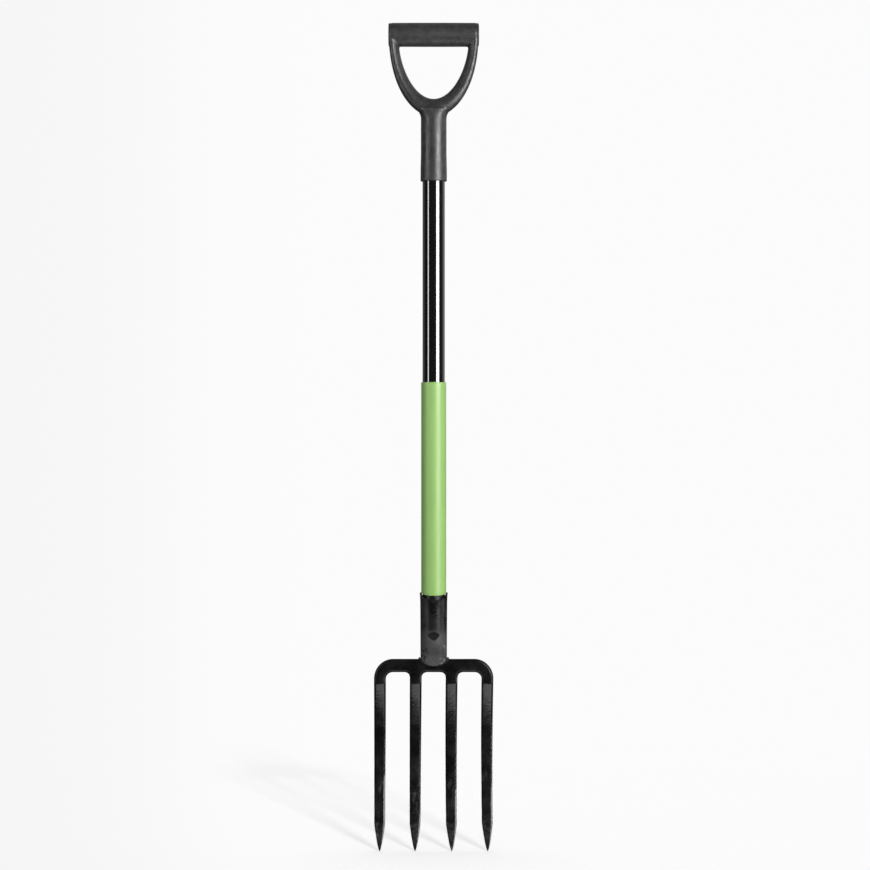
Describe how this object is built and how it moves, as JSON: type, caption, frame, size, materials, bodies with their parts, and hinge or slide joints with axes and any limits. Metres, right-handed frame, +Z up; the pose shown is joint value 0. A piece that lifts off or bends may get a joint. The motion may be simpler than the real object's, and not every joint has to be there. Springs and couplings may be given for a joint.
{
  "type": "garden fork",
  "caption": "Digging fork with a D-shaped plastic handle, tubular steel shaft with a green sleeve, and a black steel head of pointed tines.",
  "frame": {"origin": "on the shaft's axis, at the height of the tine points", "axes": "+Z up the shaft towards the D-handle, +X to the right seen from the front, +Y to the back of the fork, away from that viewer"},
  "size_m": [0.1492, 0.0353, 1.035],
  "materials": {
    "charcoal_plastic": "fine moulded grain, satin",
    "zinc_plated_steel": "bright zinc plate",
    "gloss_black_coating": "gloss black coating",
    "green_plastic": "smooth light green, semi-gloss",
    "black_enamel": "semi-gloss black enamel over forged steel"
  },
  "bodies": {
    "root": {"d_handle": "charcoal_plastic", "grip_end_plug_left": "charcoal_plastic", "grip_end_plug_right": "charcoal_plastic", "handle_screw": "zinc_plated_steel", "shaft_tube": "gloss_black_coating", "grip_sleeve": "green_plastic", "socket": "black_enamel", "socket_weld": "black_enamel", "outer_bow": "black_enamel", "inner_tine_left": "black_enamel", "inner_tine_right": "black_enamel", "tine_weld_left_outer": "black_enamel", "tine_weld_left_inner": "black_enamel", "tine_weld_right_inner": "black_enamel", "tine_weld_right_outer": "black_enamel"}
  },
  "joints": []
}
